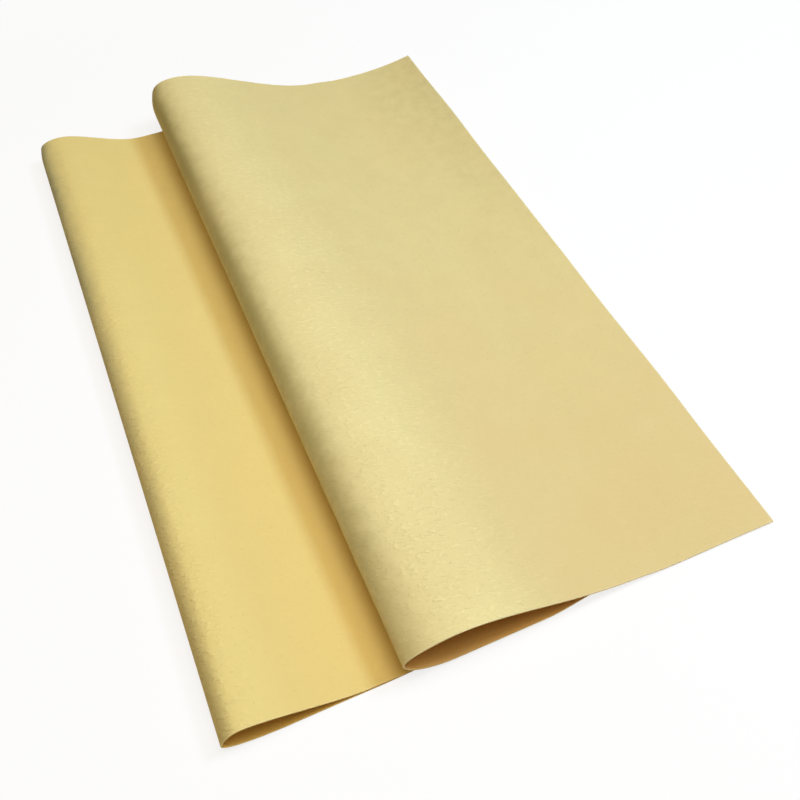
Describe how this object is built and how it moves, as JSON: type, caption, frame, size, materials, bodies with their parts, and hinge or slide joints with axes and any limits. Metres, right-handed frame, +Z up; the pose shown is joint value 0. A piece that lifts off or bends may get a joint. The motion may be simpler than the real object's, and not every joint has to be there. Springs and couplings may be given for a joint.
{
  "type": "synthetic chamois cloth",
  "caption": "Folded synthetic chamois cloths laid on each other: soft absorbent suede-like sheets for wiping and drying, each opening at its fold.",
  "frame": {"origin": "on the surface that the cloths lie on, under the middle of their box", "axes": "+Z up, +Y along the folds from the near end to the far end, +X from the folds to the free edges"},
  "size_m": [0.2515, 0.4, 0.0333],
  "materials": {
    "lower_cloth": "matt suede-like nonwoven, warm yellow",
    "upper_cloth": "matt suede-like nonwoven, pale yellow"
  },
  "bodies": {
    "lower_under": {"lower_cloth_under_leaf": "lower_cloth", "lower_cloth_fold": "lower_cloth"},
    "lower_top": {"lower_cloth_top_leaf": "lower_cloth"},
    "upper_under": {"upper_cloth_under_leaf": "upper_cloth", "upper_cloth_fold": "upper_cloth"},
    "upper_top": {"upper_cloth_top_leaf": "upper_cloth"}
  },
  "joints": [
    {"name": "lower_cloth_open", "type": "hinge", "parent": "lower_under", "child": "lower_top", "pos_m": [-0.1257, 0, 0.009], "axis": [0, -1, 0], "range_deg": [0, 45], "deforming": ["lower_cloth_fold"]},
    {"name": "upper_cloth_lift", "type": "slide", "parent": "lower_top", "child": "upper_under", "axis": [0, 0, 1], "range_m": [0, 0.15]},
    {"name": "upper_cloth_open", "type": "hinge", "parent": "upper_under", "child": "upper_top", "pos_m": [-0.0523, 0, 0.02], "axis": [0, -1, 0], "range_deg": [0, 178], "deforming": ["upper_cloth_fold"]}
  ]
}
